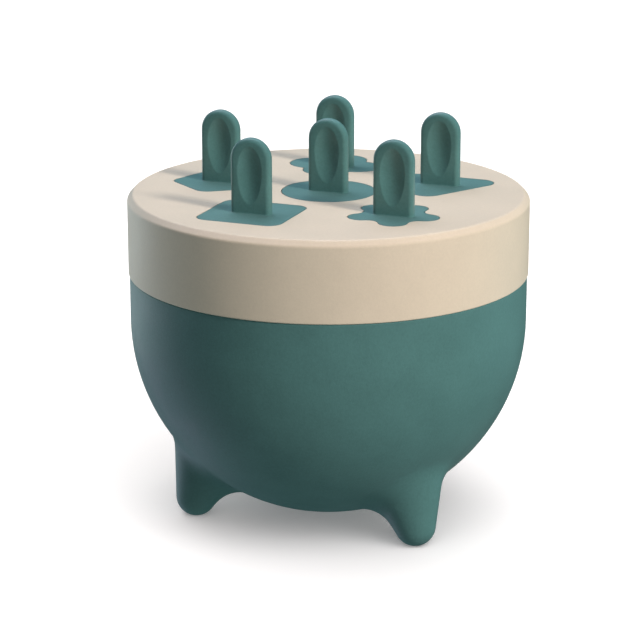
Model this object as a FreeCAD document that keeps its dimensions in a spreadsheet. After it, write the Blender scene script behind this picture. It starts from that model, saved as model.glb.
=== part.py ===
import FreeCAD
import Part
import Sketcher
import math
import os

from FreeCAD import Placement, Rotation, Vector

# Ice pop mould: a footed bowl, a tray with six hanging cups, and six sticks.
# The origin is on the floor under the bowl's axis, +Z is up, sizes are in millimetres and degrees.

SIZES = {
    # Tray
    "lid_radius": 90.0,
    "lid_height": 36.0,
    "lid_wall": 2.0,
    "deck_thickness": 3.0,
    "edge_chamfer": 2.5,
    "edge_soften": 1.5,
    "skirt_round": 0.6,
    # Bowl
    "bowl_inset": 0.5,
    "bowl_wall": 3.0,
    "bowl_straight": 21.6,
    "belly_gap": 3.1,
    "lip_height": 5.0,
    "lip_clearance": 0.3,
    # Feet
    "foot_inset": 28.2,
    "foot_ball": 9.3,
    "foot_flare": 19.5,
    "foot_lean": 19.0,
    "foot_bury": 23.0,
    "foot_blend": 17.0,
    "foot_turn": 72.5,
    "sole_radius": 3.0,
    # Layout of the six sticks
    "pattern_radius": 52.2,
    "stick_turn": -18.0,
    # Plate outlines
    "circle_radius": 21.0,
    "square_inradius": 19.4,
    "square_corner": 5.9,
    "triangle_inradius": 15.7,
    "triangle_corner": 6.9,
    "pentagon_inradius": 18.6,
    "pentagon_corner": 5.8,
    "flower_tip": 20.4,
    "flower_petal": 6.2,
    "flower_notch": 14.0,
    "clover_tip": 21.8,
    "clover_lobe": 10.9,
    "clover_notch": 15.9,
    # Plates, plugs and cups
    "plate_thickness": 2.0,
    "plate_clearance": 0.3,
    "ledge_width": 1.2,
    "plug_height": 5.0,
    "plug_clearance": 0.5,
    "cavity_depth": 80.0,
    "cavity_draft": 1.8,
    "cup_wall": 1.6,
    "cup_round": 1.6,
    # Handles
    "handle_width": 18.3,
    "handle_height": 33.0,
    "handle_thickness": 5.0,
    "handle_round": 1.8,
    "dish_width": 11.5,
    "dish_depth": 1.7,
    "dish_low": 4.1,
    "dish_waist": 18.6,
    "dish_top": 29.6,
    # Blades
    "blade_width": 12.0,
    "blade_thickness": 3.0,
    "blade_length": 60.0,
    "notch_radius": 1.5,
    "notch_pitch": 13.0,
}

NOTCH_PAIRS = 3
FEET = 3
OUTER_STICKS = 5
BACK_ANGLE = 90.0
OVERLAP = 1.0

# The five outer sticks, clockwise from the back as seen from above.
OUTER_ORDER = ["clover", "triangle", "flower", "square", "pentagon"]


class Driven(float):
    """A number that keeps the sheet expression it is worked out from."""

    def __new__(cls, number, text):
        made = float.__new__(cls, number)
        made.text = text
        return made

    def __add__(self, other):
        return Driven(float(self) + float(other), f"({self.text} + {text_of(other)})")

    def __radd__(self, other):
        return Driven(float(other) + float(self), f"({text_of(other)} + {self.text})")

    def __sub__(self, other):
        return Driven(float(self) - float(other), f"({self.text} - {text_of(other)})")

    def __rsub__(self, other):
        return Driven(float(other) - float(self), f"({text_of(other)} - {self.text})")

    def __mul__(self, other):
        return Driven(float(self) * float(other), f"({self.text} * {text_of(other)})")

    __rmul__ = __mul__

    def __truediv__(self, other):
        return Driven(float(self) / float(other), f"({self.text} / {text_of(other)})")

    def __neg__(self):
        return Driven(-float(self), f"(0 - {self.text})")


def text_of(value):
    return value.text if isinstance(value, Driven) else f"({float(value):.12f})"


def applied(function, name, value, answer):
    """The answer of a function, with its expression where the value has one."""
    return Driven(answer, f"{name}({value.text})") if isinstance(value, Driven) else answer


def cosine(angle):
    return applied(math.cos, "cos", angle, math.cos(math.radians(angle)))


def sine(angle):
    return applied(math.sin, "sin", angle, math.sin(math.radians(angle)))


def root(value):
    return applied(math.sqrt, "sqrt", value, math.sqrt(value))


doc = FreeCAD.newDocument("ice_pop_mould")
sheet = doc.addObject("Spreadsheet::Sheet", "sizes")
for row, (alias, number) in enumerate(SIZES.items(), start=1):
    sheet.set(f"A{row}", alias)
    sheet.set(f"B{row}", str(number))
    sheet.setAlias(f"B{row}", alias)
doc.recompute()


def size(alias):
    """A driving size, as a number that stays bound to its cell."""
    return Driven(float(sheet.get(alias)), f"sizes.{alias}")


def bind(target, name, value):
    """Sets a property, and ties it to the sheet where the value has an expression."""
    if isinstance(value, Driven):
        target.setExpression(name, value.text)
    else:
        setattr(target, name, value)


def place(target, name, x, y, z, turn):
    """Puts an object at a point, turned about +Z, with all four tied to the sheet."""
    setattr(target, name, Placement(Vector(x, y, z), Rotation(Vector(0, 0, 1), float(turn))))
    for axis, value in zip("xyz", (x, y, z)):
        if isinstance(value, Driven):
            target.setExpression(f"{name}.Base.{axis}", value.text)
    if isinstance(turn, Driven):
        target.setExpression(f"{name}.Rotation.Angle", turn.text)


# Sketches

def new_sketch(body, name, plane):
    """An empty sketch on one of the body's own origin planes."""
    sketch = body.newObject("Sketcher::SketchObject", name)
    origin_plane = [item for item in body.Origin.OriginFeatures if item.Role == plane][0]
    sketch.AttachmentSupport = (origin_plane, "")
    sketch.MapMode = "FlatFace"
    return sketch


def hold(sketch, constraint, value):
    """Adds a dimension, tied to the sheet where the value has an expression."""
    index = sketch.addConstraint(constraint)
    if isinstance(value, Driven):
        sketch.setExpression(f"Constraints[{index}]", value.text)


def arc_between(start, end, bend):
    """The minor arc between two points: it turns left for a positive bend, right for a negative one."""
    first, last = (start, end) if bend > 0 else (end, start)
    chord = last - first
    half = chord.Length / 2
    rise = math.sqrt(max(bend * bend - half * half, 0.0))
    side = Vector(-chord.y, chord.x, 0).normalize()
    center = first + chord * 0.5 + side * rise
    angles = [math.atan2(point.y - center.y, point.x - center.x) for point in (first, last)]
    return Part.ArcOfCircle(Part.Circle(center, Vector(0, 0, 1), abs(float(bend))), *angles)


def draw(sketch, corners):
    """Draws a closed outline. A corner is x, y and the signed radius of the arc that leaves it, 0 if straight."""
    points = [Vector(float(x), float(y), 0) for x, y, bend in corners]
    first = sketch.GeometryCount
    count = len(corners)
    for index, (x, y, bend) in enumerate(corners):
        start, end = points[index], points[(index + 1) % count]
        sketch.addGeometry(arc_between(start, end, bend) if bend else Part.LineSegment(start, end), False)
    for index, (x, y, bend) in enumerate(corners):
        before = (index - 1) % count
        here = 2 if bend < 0 else 1
        there = 1 if corners[before][2] < 0 else 2
        sketch.addConstraint(Sketcher.Constraint("Coincident", first + before, there, first + index, here))
        hold(sketch, Sketcher.Constraint("DistanceX", -1, 1, first + index, here, float(x)), x)
        hold(sketch, Sketcher.Constraint("DistanceY", -1, 1, first + index, here, float(y)), y)
        if bend:
            radius = bend if bend > 0 else -bend
            hold(sketch, Sketcher.Constraint("Radius", first + index, float(radius)), radius)


def draw_circle(sketch, radius):
    sketch.addGeometry(Part.Circle(Vector(0, 0, 0), Vector(0, 0, 1), float(radius)), False)
    sketch.addConstraint(Sketcher.Constraint("Coincident", 0, 3, -1, 1))
    hold(sketch, Sketcher.Constraint("Radius", 0, float(radius)), radius)


def axis_line(sketch, start, end):
    """A construction line that a profile is turned about."""
    index = sketch.addGeometry(Part.LineSegment(Vector(*start, 0), Vector(*end, 0)), True)
    for position, (x, y) in ((1, start), (2, end)):
        hold(sketch, Sketcher.Constraint("DistanceX", -1, 1, index, position, float(x)), x)
        hold(sketch, Sketcher.Constraint("DistanceY", -1, 1, index, position, float(y)), y)


# Features

def feature(body, kind, name, sketch):
    made = body.newObject(f"PartDesign::{kind}", name)
    made.Profile = sketch
    sketch.Visibility = False
    return made


def turned(body, kind, name, sketch, axis):
    """A profile turned all the way round an axis of its own sketch."""
    made = feature(body, kind, name, sketch)
    made.ReferenceAxis = (sketch, [axis])
    made.Angle = 360.0
    return made


def raised(body, kind, name, sketch, length, reverse=False, midplane=False):
    """A sketch pushed out, or cut in, by a length."""
    made = feature(body, kind, name, sketch)
    made.Reversed = reverse
    if midplane:
        made.SideType = "Symmetric"
    bind(made, "Length", length)
    return made


def rounded(body, name, base, radius, chosen):
    """Fillets the edges of the last feature that a test picks out."""
    doc.recompute()
    names = [f"Edge{index}" for index, edge in enumerate(base.Shape.Edges, start=1) if chosen(edge)]
    made = body.newObject("PartDesign::Fillet", name)
    made.Base = (base, names)
    bind(made, "Radius", radius)
    return made


# Plate outlines
# Each is drawn about its own centre, with X along the handle's width and -Y towards the front of the handle.
# An inset moves the whole outline inwards, so that plates, recesses, plugs, cavities and cups stay parallel.

def rounded_polygon(count, first_corner, inradius, corner, inset):
    """Corners of a regular polygon with rounded corners, counterclockwise."""
    half = 180.0 / count
    reach = (inradius - corner) / math.cos(math.radians(half))
    radius = corner - inset
    corners = []
    for index in range(count):
        angle = first_corner + index * 2 * half
        x, y = reach * cosine(angle), reach * sine(angle)
        corners.append((x + radius * cosine(angle - half), y + radius * sine(angle - half), radius))
        corners.append((x + radius * cosine(angle + half), y + radius * sine(angle + half), 0))
    return corners


def lobed_outline(count, first_lobe, tip, lobe, notch, inset):
    """Corners of a ring of round lobes joined by round notches, counterclockwise."""
    half = 180.0 / count
    lean = math.cos(math.radians(half))
    reach = tip - lobe
    hollow = (
        (reach * reach + notch * notch - lobe * lobe - 2 * lean * reach * notch)
        / (2 * (lobe + reach * lean - notch))
    )
    across = notch + hollow
    share = lobe / (lobe + hollow)
    # A lobe meets a notch on the line between their centres, at a share of it that no inset changes the slope of.
    along = reach + share * (across * lean - reach)
    beside = share * across * math.sin(math.radians(half))
    unit_along = (across * lean - reach) / (lobe + hollow)
    unit_beside = across * math.sin(math.radians(half)) / (lobe + hollow)
    along = along - inset * unit_along
    beside = beside - inset * unit_beside
    corners = []
    for index in range(count):
        angle = first_lobe + index * 2 * half
        c, s = cosine(angle), sine(angle)
        corners.append((along * c + beside * s, along * s - beside * c, lobe - inset))
        corners.append((along * c - beside * s, along * s + beside * c, -(hollow + inset)))
    return corners


def plate_corners(shape, inset):
    if shape == "square":
        return rounded_polygon(4, 45.0, size("square_inradius"), size("square_corner"), inset)
    if shape == "triangle":
        return rounded_polygon(3, -90.0, size("triangle_inradius"), size("triangle_corner"), inset)
    if shape == "pentagon":
        return rounded_polygon(5, -90.0, size("pentagon_inradius"), size("pentagon_corner"), inset)
    if shape == "flower":
        return lobed_outline(5, 0.0, size("flower_tip"), size("flower_petal"), size("flower_notch"), inset)
    return lobed_outline(4, 0.0, size("clover_tip"), size("clover_lobe"), size("clover_notch"), inset)


def plate_sketch(body, name, shape, inset, x, y, z, turn):
    """A plate outline, moved inwards by the inset, on a level plane of the body."""
    sketch = new_sketch(body, name, "XY_Plane")
    place(sketch, "AttachmentOffset", x, y, z, turn)
    if shape == "circle":
        draw_circle(sketch, size("circle_radius") - inset)
    else:
        draw(sketch, plate_corners(shape, inset))
    return sketch


def spots():
    """Where each stick stands: its shape and the x and y of its centre."""
    found = [("circle", 0.0, 0.0)]
    for index, shape in enumerate(OUTER_ORDER):
        angle = BACK_ANGLE - index * 360.0 / OUTER_STICKS
        found.append((shape, size("pattern_radius") * cosine(angle), size("pattern_radius") * sine(angle)))
    return found


# Levels and radii that several pieces share
bowl_radius = size("lid_radius") - size("bowl_inset")
bowl_inside = bowl_radius - size("bowl_wall")
bowl_center = size("belly_gap") + bowl_radius
rim = bowl_center + size("bowl_straight")
deck_top = rim + size("lid_height")
foot_circle = bowl_radius - size("foot_inset")
skirt_inside = size("lid_radius") - size("lid_wall")
lip_radius = skirt_inside - size("lip_clearance")
cavity_inset = size("ledge_width")
cup_inset = size("ledge_width") - size("cup_wall")
plug_inset = size("ledge_width") + size("plug_clearance")


# Bowl: the outer form less a core of the same make, so that the wall is even down into the feet

def foot_profile(sketch, ball):
    """Half of a foot, ball-ended and flaring upwards, about its own leaning axis."""
    lean, flare = size("foot_lean"), size("foot_flare")
    stand_x = foot_circle
    stand_z = root(size("foot_ball") * size("foot_ball") - size("sole_radius") * size("sole_radius"))

    # Up its axis the foot first meets the bowl, and then ends a named depth inside it.
    rise = bowl_center - stand_z
    along = stand_x * sine(lean) + rise * cosine(lean)
    aside = stand_x * cosine(lean) - rise * sine(lean)
    run = along - root(bowl_radius * bowl_radius - aside * aside) + size("foot_bury")

    def at(out, up):
        """A point beside the foot's axis and along it, in the sketch."""
        return stand_x + out * cosine(lean) - up * sine(lean), stand_z + out * sine(lean) + up * cosine(lean)

    tangent_out, tangent_up = ball * cosine(flare), -(ball * sine(flare))
    spread = tangent_out + (run - tangent_up) * sine(flare) / cosine(flare)
    bottom = at(0.0, -ball)
    top = at(0.0, run)
    draw(sketch, [
        (*bottom, ball),
        (*at(tangent_out, tangent_up), 0),
        (*at(spread, run), 0),
        (*top, 0),
    ])
    axis_line(sketch, bottom, top)


def bowl_form(name, profile, ball, blend):
    """A turned bowl form with three feet blended into it."""
    body = doc.addObject("PartDesign::Body", name)
    outline = new_sketch(body, f"{name}_outline", "XZ_Plane")
    draw(outline, profile)
    turned(body, "Revolution", f"{name}_turned", outline, "V_Axis")
    foot_outline = new_sketch(body, f"{name}_foot_outline", "XZ_Plane")
    foot_profile(foot_outline, ball)
    foot = turned(body, "Revolution", f"{name}_foot", foot_outline, "Axis0")
    doc.recompute()
    feet = body.newObject("PartDesign::PolarPattern", f"{name}_feet")
    feet.Originals = [foot]
    feet.Axis = (outline, ["V_Axis"])
    feet.Angle = 360.0
    feet.Occurrences = FEET
    body.Tip = feet
    doc.recompute()
    solid = feet.Shape

    def joins_foot(edge):
        kinds = {face.Surface.TypeId for face in solid.ancestorsOfType(edge, Part.Face)}
        return kinds == {"Part::GeomSphere", "Part::GeomCone"} and edge.BoundBox.ZMax > float(size("foot_ball"))

    blended = rounded(body, f"{name}_blend", feet, blend, joins_foot)
    body.Tip = blended
    return body


def make_bowl():
    wall, edge = size("bowl_wall"), size("skirt_round")
    lip_top = rim + size("lip_height")
    form = bowl_form("bowl_form", [
        (0.0, bowl_center - bowl_radius, bowl_radius),
        (bowl_radius, bowl_center, 0),
        (bowl_radius, rim - edge, edge),
        (bowl_radius - edge, rim, 0),
        (lip_radius, rim, 0),
        (lip_radius, lip_top, 0),
        (0.0, lip_top, 0),
    ], size("foot_ball"), size("foot_blend"))
    core = bowl_form("bowl_core", [
        (0.0, bowl_center - bowl_inside, bowl_inside),
        (bowl_inside, bowl_center, 0),
        (bowl_inside, lip_top + OVERLAP, 0),
        (0.0, lip_top + OVERLAP, 0),
    ], size("foot_ball") - wall, size("foot_blend") + wall)

    # The soles are cut flat at the floor.
    sole = new_sketch(form, "sole_outline", "XY_Plane")
    draw_circle(sole, foot_circle + size("foot_ball"))
    raised(form, "Pocket", "soles", sole, size("foot_ball"))

    bowl = doc.addObject("Part::Cut", "bowl")
    bowl.Base = form
    bowl.Tool = core
    place(bowl, "Placement", 0.0, 0.0, 0.0, size("foot_turn"))
    return bowl


# Tray: a turned deck and skirt, six cups below it, and a cavity and recess in each

def make_tray():
    body = doc.addObject("PartDesign::Body", "mould_tray")
    radius = size("lid_radius")
    chamfer, soften, edge = size("edge_chamfer"), size("edge_soften"), size("skirt_round")
    tangent = soften * math.tan(math.radians(22.5))
    slant = tangent * math.cos(math.radians(45.0))
    under_deck = deck_top - size("deck_thickness")
    outline = new_sketch(body, "tray_outline", "XZ_Plane")
    draw(outline, [
        (0.0, under_deck, 0),
        (skirt_inside, under_deck, 0),
        (skirt_inside, rim, 0),
        (radius - edge, rim, edge),
        (radius, rim + edge, 0),
        (radius, deck_top - chamfer - tangent, soften),
        (radius - slant, deck_top - chamfer + slant, 0),
        (radius - chamfer + slant, deck_top - slant, soften),
        (radius - chamfer - tangent, deck_top, 0),
        (0.0, deck_top, 0),
    ])
    turned(body, "Revolution", "deck_and_skirt", outline, "V_Axis")

    cavity_floor = deck_top - size("cavity_depth")
    cup_floor = cavity_floor - size("cup_wall")
    turn = size("stick_turn")
    for shape, x, y in spots():
        top = plate_sketch(body, f"{shape}_cup_top", shape, cup_inset, x, y, under_deck, turn)
        low = plate_sketch(
            body, f"{shape}_cup_low", shape, cup_inset + size("cavity_draft"), x, y, cup_floor, turn)
        cup = feature(body, "AdditiveLoft", f"{shape}_cup", top)
        cup.Sections = [low]
        cup.Ruled = True
    doc.recompute()
    rounded(body, "cup_rounds", body.Tip, size("cup_round"), lambda edge: edge.BoundBox.ZMax < cup_floor + 0.01)

    for shape, x, y in spots():
        top = plate_sketch(body, f"{shape}_cavity_top", shape, cavity_inset, x, y, deck_top, turn)
        low = plate_sketch(
            body, f"{shape}_cavity_low", shape, cavity_inset + size("cavity_draft"), x, y, cavity_floor, turn)
        cavity = feature(body, "SubtractiveLoft", f"{shape}_cavity", top)
        cavity.Sections = [low]
        cavity.Ruled = True
        seat = plate_sketch(
            body, f"{shape}_recess_outline", shape, -size("plate_clearance"), x, y, deck_top, turn)
        raised(body, "Pocket", f"{shape}_recess", seat, size("plate_thickness"))
    return body


# Sticks: plate, plug, blade and handle in one piece, with a dish in both faces of the handle

def blade_corners():
    """Half-round end and pairs of round notches down both edges, from the plug downwards."""
    half, length = size("blade_width") / 2, size("blade_length")
    top = -size("plate_thickness") - size("plug_height") + OVERLAP
    bottom = -size("plate_thickness") - length
    notch, pitch = size("notch_radius"), size("notch_pitch")
    shoulder = bottom + half
    heights = [shoulder + pitch * (index + 0.5) for index in range(NOTCH_PAIRS)]
    corners = [(0.0, bottom, half), (half, shoulder, 0)]
    for height in heights:
        corners += [
            (half, height - notch, -notch),
            (half - notch, height, -notch),
            (half, height + notch, 0),
        ]
    corners += [(half, top, 0), (-half, top, 0)]
    for height in reversed(heights):
        corners += [
            (-half, height + notch, -notch),
            (notch - half, height, -notch),
            (-half, height - notch, 0),
        ]
    corners.append((-half, shoulder, half))
    return corners


def handle_corners():
    """A square-footed tab with a half-round top."""
    half = size("handle_width") / 2
    shoulder = size("handle_height") - half
    return [
        (-half, -OVERLAP, 0),
        (half, -OVERLAP, 0),
        (half, shoulder, half),
        (0.0, size("handle_height"), half),
        (-half, shoulder, 0),
    ]


def dish_profile(sketch, side):
    """Half of a barrel whose belly dips into one face of the handle, and the line that it is turned about."""
    depth, half_width = size("dish_depth"), size("dish_width") / 2
    low, waist, high = size("dish_low"), size("dish_waist"), size("dish_top")
    face = size("handle_thickness") / 2

    def bow(half):
        """The radius of an arc that is as deep as the dish over a half chord."""
        return (half * half + depth * depth) / (2 * depth)

    axis = face + bow(half_width) - depth
    draw(sketch, [
        (side * axis, low, 0),
        (side * face, low, -side * bow(waist - low)),
        (side * (face - depth), waist, -side * bow(high - waist)),
        (side * face, high, 0),
        (side * axis, high, 0),
    ])
    axis_line(sketch, (side * axis, low), (side * axis, high))


def make_stick(shape, x, y):
    body = doc.addObject("PartDesign::Body", f"stick_{shape}")
    base = -size("plate_thickness")
    plate = plate_sketch(body, f"{shape}_plate_outline", shape, 0.0, 0.0, 0.0, base, 0.0)
    raised(body, "Pad", f"{shape}_plate", plate, size("plate_thickness"))
    plug = plate_sketch(body, f"{shape}_plug_outline", shape, plug_inset, 0.0, 0.0, base, 0.0)
    raised(body, "Pad", f"{shape}_plug", plug, size("plug_height"), reverse=True)
    blade = new_sketch(body, f"{shape}_blade_outline", "XZ_Plane")
    draw(blade, blade_corners())
    raised(body, "Pad", f"{shape}_blade", blade, size("blade_thickness"), midplane=True)
    handle = new_sketch(body, f"{shape}_handle_outline", "XZ_Plane")
    draw(handle, handle_corners())
    tab = raised(body, "Pad", f"{shape}_handle", handle, size("handle_thickness"), midplane=True)
    face = size("handle_thickness") / 2

    def rims_face(edge):
        box = edge.BoundBox
        flat = box.YLength < 0.01 and abs(abs(box.YMin) - face) < 0.01
        return flat and box.ZMax > 1.0 and box.ZLength > 0.01

    rounded(body, f"{shape}_handle_rounds", tab, size("handle_round"), rims_face)
    for side, label in ((-1, "front"), (1, "rear")):
        dish = new_sketch(body, f"{shape}_{label}_dish_outline", "YZ_Plane")
        dish_profile(dish, side)
        turned(body, "Groove", f"{shape}_{label}_dish", dish, "Axis0")
    place(body, "Placement", x, y, deck_top, size("stick_turn"))
    return body


def check(pieces):
    """Stops if any object failed, or if a piece isn't one valid solid."""
    for item in doc.Objects:
        if "Invalid" in item.State or "Error" in item.State:
            raise RuntimeError(f"{item.Name} failed: {item.State}")
    for piece in pieces:
        shape = piece.Shape
        if shape.isNull() or not shape.isValid() or len(shape.Solids) != 1:
            raise RuntimeError(f"{piece.Name} isn't one valid solid")


pieces = [make_bowl(), make_tray()] + [make_stick(*spot) for spot in spots()]
doc.recompute()
check(pieces)
os.makedirs("parts", exist_ok=True)
for piece in pieces:
    piece.Label = piece.Name
    piece.Shape.exportStep(os.path.join("parts", f"{piece.Label}.step"))
    box = piece.Shape.BoundBox
    print(piece.Label, [round(v, 2) for v in (box.XMin, box.XMax, box.YMin, box.YMax, box.ZMin, box.ZMax)],
          round(piece.Shape.Volume / 1000, 1), "cm3")
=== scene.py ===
import math

import bpy
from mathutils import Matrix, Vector

# Ice pop mould, dressed as moulded matte plastic on a white studio floor. Lengths are in metres.

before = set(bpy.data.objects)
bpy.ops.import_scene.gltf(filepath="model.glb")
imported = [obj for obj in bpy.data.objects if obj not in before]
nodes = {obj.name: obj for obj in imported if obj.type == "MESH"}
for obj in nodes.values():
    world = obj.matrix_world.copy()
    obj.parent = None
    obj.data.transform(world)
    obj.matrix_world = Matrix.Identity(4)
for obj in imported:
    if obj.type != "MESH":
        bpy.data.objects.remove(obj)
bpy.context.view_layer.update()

MM = 0.001
MIDDLE = Vector((0.0, 0.0, 0.1))

# Camera: a long lens a little to the right of the front, looking down on the deck
CAMERA_PLACE = Vector((0.0648, -1.0934, 0.4130))
CAMERA_AIM = Vector((-0.0038, -0.0002, 0.0899))
CAMERA_LENS = 141.4
CAMERA_SENSOR = 36.0
CAMERA_NEAR, CAMERA_FAR = 0.05, 50.0

# Colours as linear red, green, blue
TRAY_COLOR = (0.69, 0.59, 0.45)
BOWL_COLOR = (0.078, 0.188, 0.176)
STICK_COLOR = (0.082, 0.201, 0.188)
FLOOR_COLOR = (0.95, 0.95, 0.95)
FLOOR_WIDTH = 12.0
FLOOR_LIGHT_COLOR = (1.0, 0.99, 0.985)
FLOOR_GLOW = (0.17, 0.140, 0.140)

# Surroundings as the part gets them: what lights it, then what it mirrors
LIGHT_ABOVE = (0.0, 0.0, 0.0)
LIGHT_BELOW = (0.34, 0.42, 0.43)
MIRRORED_ABOVE = (0.06, 0.21, 0.26)
MIRRORED_BELOW = (0.0, 0.05, 0.045)
HORIZON_SOFTNESS = 0.25

# Softboxes on the part: azimuth, elevation, distance, width, strength and colour.
# A strength is the light on a surface that faces the lamp, as a share of the white level.
SOFTBOXES = {
    "key": (54.0, 33.0, 2.4, 0.4, 0.765, (1.0, 0.935, 0.905)),
    "key_front": (38.0, 28.0, 2.0, 1.3, 0.345, (1.0, 0.88, 0.885)),
    "top_back": (180.0, 62.0, 1.3, 0.9, 0.325, (0.695, 0.86, 1.0)),
    "top_left": (-125.0, 60.0, 1.3, 0.9, 0.555, (0.845, 0.84, 1.0)),
    "rim_left": (-128.0, 0.0, 1.3, 0.8, 0.29, (0.855, 0.985, 1.0)),
    "low_left": (-116.0, -34.0, 1.3, 0.9, 0.13, (0.74, 0.72, 1.0)),
    "rim_right": (115.0, -8.0, 1.3, 0.8, 0.09, (0.45, 0.95, 1.0)),
}
# Soft suns on the floor: azimuth, elevation, strength and spread in degrees
SUN_DISTANCE = 2.0
FLOOR_SUNS = {
    "dome_wide": (0.0, 90.0, 0.19, 80.0),
    "dome_narrow": (0.0, 90.0, 0.24, 45.0),
    "right_soft": (55.0, 38.0, 0.35, 50.0),
    "right_sharp": (55.0, 38.0, 0.07, 20.0),
    "front": (0.0, 45.0, 0.46, 60.0),
    "back": (180.0, 45.0, 0.27, 60.0),
    "back_left": (-120.0, 45.0, 0.13, 60.0),
}


# Materials

# Noise scales: clouds in the colour and gloss, specks in the colour, and the moulded grain with its depth
CLOUD_SCALE, SPECK_SCALE, GRAIN_SCALE = 55.0, 900.0, 1600.0
GRAIN_DEPTH = 0.12 * MM
GLOSS_SPREAD = 0.06
# The noise is cut to this middle part of its range
TINT_RANGE = (0.34, 0.66)
GLOSS_RANGE = (0.3, 0.7)


def matte_plastic(name, color, mottle, roughness, grain, softness):
    """Moulded plastic: cloudy colour, a fine spark-eroded grain, softened edges and uneven gloss."""
    material = bpy.data.materials.new(name)
    material.use_nodes = True
    tree = material.node_tree
    tree.nodes.clear()
    new, link = tree.nodes.new, tree.links.new
    output = new("ShaderNodeOutputMaterial")
    shader = new("ShaderNodeBsdfPrincipled")
    place = new("ShaderNodeTexCoord")
    link(shader.outputs["BSDF"], output.inputs["Surface"])

    cloud = new("ShaderNodeTexNoise")
    cloud.inputs["Scale"].default_value = CLOUD_SCALE
    cloud.inputs["Detail"].default_value = 5.0
    cloud.inputs["Roughness"].default_value = 0.62
    link(place.outputs["Object"], cloud.inputs["Vector"])
    speck = new("ShaderNodeTexNoise")
    speck.inputs["Scale"].default_value = SPECK_SCALE
    speck.inputs["Detail"].default_value = 3.0
    link(place.outputs["Object"], speck.inputs["Vector"])
    blend = new("ShaderNodeMix")
    blend.data_type = "FLOAT"
    blend.inputs[0].default_value = 0.5
    link(cloud.outputs["Fac"], blend.inputs[2])
    link(speck.outputs["Fac"], blend.inputs[3])

    tint = new("ShaderNodeValToRGB")
    tint.color_ramp.elements[0].position = TINT_RANGE[0]
    tint.color_ramp.elements[1].position = TINT_RANGE[1]
    tint.color_ramp.elements[0].color = tuple(c * (1 - mottle) for c in color) + (1.0,)
    tint.color_ramp.elements[1].color = tuple(min(c * (1 + mottle), 1.0) for c in color) + (1.0,)
    link(blend.outputs[0], tint.inputs["Fac"])
    link(tint.outputs["Color"], shader.inputs["Base Color"])

    gloss = new("ShaderNodeMapRange")
    gloss.inputs["From Min"].default_value = GLOSS_RANGE[0]
    gloss.inputs["From Max"].default_value = GLOSS_RANGE[1]
    gloss.inputs["To Min"].default_value = roughness - GLOSS_SPREAD
    gloss.inputs["To Max"].default_value = roughness + GLOSS_SPREAD
    link(cloud.outputs["Fac"], gloss.inputs["Value"])
    link(gloss.outputs["Result"], shader.inputs["Roughness"])

    edge = new("ShaderNodeBevel")
    edge.samples = 8
    edge.inputs["Radius"].default_value = softness
    texture = new("ShaderNodeTexNoise")
    texture.inputs["Scale"].default_value = GRAIN_SCALE
    texture.inputs["Detail"].default_value = 4.0
    link(place.outputs["Object"], texture.inputs["Vector"])
    bump = new("ShaderNodeBump")
    bump.inputs["Strength"].default_value = grain
    bump.inputs["Distance"].default_value = GRAIN_DEPTH
    link(texture.outputs["Fac"], bump.inputs["Height"])
    link(edge.outputs["Normal"], bump.inputs["Normal"])
    link(bump.outputs["Normal"], shader.inputs["Normal"])

    shader.inputs["Specular IOR Level"].default_value = 0.5
    shader.inputs["Sheen Weight"].default_value = 0.05
    return material


def dress(node, material):
    """Gives a piece its material in every slot that it has."""
    data = node.data
    if not data.materials:
        data.materials.append(material)
    for index in range(len(data.materials)):
        data.materials[index] = material


# Each look: colour, mottle, roughness, grain and the width over which edges are softened
tray_plastic = matte_plastic("tray_plastic_look", TRAY_COLOR, 0.035, 0.56, 0.35, 0.45 * MM)
bowl_plastic = matte_plastic("bowl_plastic_look", BOWL_COLOR, 0.09, 0.52, 0.45, 0.45 * MM)
stick_plastic = matte_plastic("stick_plastic_look", STICK_COLOR, 0.10, 0.44, 0.45, 1.0 * MM)
for name, node in nodes.items():
    if name == "bowl":
        dress(node, bowl_plastic)
    elif name == "mould_tray":
        dress(node, tray_plastic)
    else:
        dress(node, stick_plastic)


# Floor

def make_floor():
    """A wide pale floor, level with the soles. Its colour doesn't spill onto the part."""
    mesh = bpy.data.meshes.new("floor")
    half = FLOOR_WIDTH / 2
    corners = [(-half, -half, 0.0), (half, -half, 0.0), (half, half, 0.0), (-half, half, 0.0)]
    mesh.from_pydata(corners, [], [(0, 1, 2, 3)])
    floor = bpy.data.objects.new("floor", mesh)
    bpy.context.scene.collection.objects.link(floor)
    material = bpy.data.materials.new("floor_look")
    material.use_nodes = True
    shader = material.node_tree.nodes["Principled BSDF"]
    shader.inputs["Base Color"].default_value = (*FLOOR_COLOR, 1.0)
    shader.inputs["Roughness"].default_value = 0.9
    shader.inputs["Specular IOR Level"].default_value = 0.0
    shader.inputs["Emission Color"].default_value = (*FLOOR_GLOW, 1.0)
    shader.inputs["Emission Strength"].default_value = 1.0
    mesh.materials.append(material)
    floor.visible_diffuse = False
    floor.visible_glossy = False
    return floor


# Light

def floor_group(name, floor, state):
    group = bpy.data.collections.new(name)
    group.objects.link(floor)
    group.collection_objects[0].light_linking.link_state = state
    return group


def light_part(lamp, floor):
    """Keeps a lamp to the part. The floor neither gets its light nor blocks it."""
    lamp.light_linking.receiver_collection = floor_group(f"{lamp.name}_receivers", floor, "EXCLUDE")
    lamp.light_linking.blocker_collection = floor_group(f"{lamp.name}_blockers", floor, "EXCLUDE")


def light_floor(lamp, floor):
    """Keeps a lamp to the floor."""
    lamp.light_linking.receiver_collection = floor_group(f"{lamp.name}_receivers", floor, "INCLUDE")


def add_lamp(data, place, aim):
    lamp = bpy.data.objects.new(data.name, data)
    lamp.location = place
    lamp.rotation_mode = "QUATERNION"
    lamp.rotation_quaternion = (aim - place).to_track_quat("-Z", "Y")
    bpy.context.scene.collection.objects.link(lamp)
    return lamp


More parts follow.
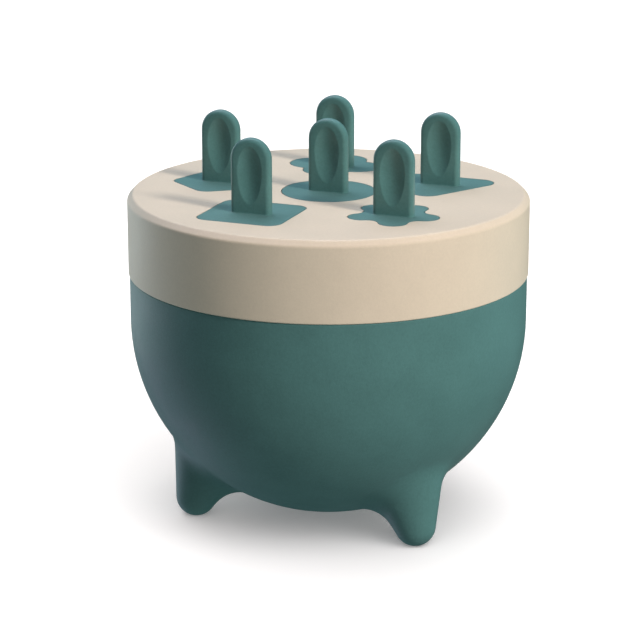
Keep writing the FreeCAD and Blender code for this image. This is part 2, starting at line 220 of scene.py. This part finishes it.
def add_softbox(name, place, width, level, color):
    """A square area light that faces the mould's middle."""
    data = bpy.data.lights.new(name, "AREA")
    data.size = width
    data.energy = level * (math.pi * (MIDDLE - place).length) ** 2
    data.color = color
    return add_lamp(data, place, MIDDLE)


def add_sun(name, place, level, spread, color):
    """Soft light from all round one direction, the same wherever it falls."""
    data = bpy.data.lights.new(name, "SUN")
    data.energy = level * math.pi
    data.angle = math.radians(spread)
    data.color = color
    return add_lamp(data, place, Vector((0.0, 0.0, 0.0)))


def around(azimuth, elevation, distance):
    """A point round the mould's middle: azimuth 0 is in front of it, 90 to its right."""
    a, e = math.radians(azimuth), math.radians(elevation)
    return Vector((
        distance * math.sin(a) * math.cos(e),
        -distance * math.cos(a) * math.cos(e),
        distance * math.sin(e) + MIDDLE.z,
    ))


def make_world():
    """White surroundings for the camera, and dimmer ones for the light and the reflections on the part."""
    world = bpy.data.worlds.new("studio")
    bpy.context.scene.world = world
    world.use_nodes = True
    tree = world.node_tree
    tree.nodes.clear()
    new, link = tree.nodes.new, tree.links.new

    def background(color):
        node = new("ShaderNodeBackground")
        node.inputs["Color"].default_value = (*color, 1.0)
        return node.outputs["Background"]

    def mixed(factor, first, second):
        node = new("ShaderNodeMixShader")
        link(factor, node.inputs["Fac"])
        link(first, node.inputs[1])
        link(second, node.inputs[2])
        return node.outputs["Shader"]

    direction = new("ShaderNodeTexCoord")
    height = new("ShaderNodeSeparateXYZ")
    upper = new("ShaderNodeMapRange")
    upper.inputs["From Min"].default_value = -HORIZON_SOFTNESS
    upper.inputs["From Max"].default_value = HORIZON_SOFTNESS
    link(direction.outputs["Generated"], height.inputs["Vector"])
    link(height.outputs["Z"], upper.inputs["Value"])

    path = new("ShaderNodeLightPath")
    lit = mixed(upper.outputs["Result"], background(LIGHT_BELOW), background(LIGHT_ABOVE))
    mirrored = mixed(upper.outputs["Result"], background(MIRRORED_BELOW), background(MIRRORED_ABOVE))
    fill = mixed(path.outputs["Is Glossy Ray"], lit, mirrored)
    fill = mixed(path.outputs["Is Camera Ray"], fill, background((1.0, 1.0, 1.0)))
    output = new("ShaderNodeOutputWorld")
    link(fill, output.inputs["Surface"])


def make_camera():
    data = bpy.data.cameras.new("camera")
    data.lens = CAMERA_LENS
    data.sensor_width = CAMERA_SENSOR
    data.clip_start = CAMERA_NEAR
    data.clip_end = CAMERA_FAR
    camera = bpy.data.objects.new("camera", data)
    camera.location = CAMERA_PLACE
    camera.rotation_mode = "QUATERNION"
    camera.rotation_quaternion = (CAMERA_AIM - CAMERA_PLACE).to_track_quat("-Z", "Y")
    bpy.context.scene.collection.objects.link(camera)
    bpy.context.scene.camera = camera


floor = make_floor()
make_world()
for name, (azimuth, elevation, distance, width, level, color) in SOFTBOXES.items():
    softbox = add_softbox(name, around(azimuth, elevation, distance), width, level, color)
    softbox.visible_glossy = not name.startswith("key")
    light_part(softbox, floor)
for name, (azimuth, elevation, level, spread) in FLOOR_SUNS.items():
    sun = add_sun(f"floor_{name}", around(azimuth, elevation, SUN_DISTANCE), level, spread, FLOOR_LIGHT_COLOR)
    light_floor(sun, floor)
make_camera()
bpy.context.scene.view_settings.view_transform = "Standard"
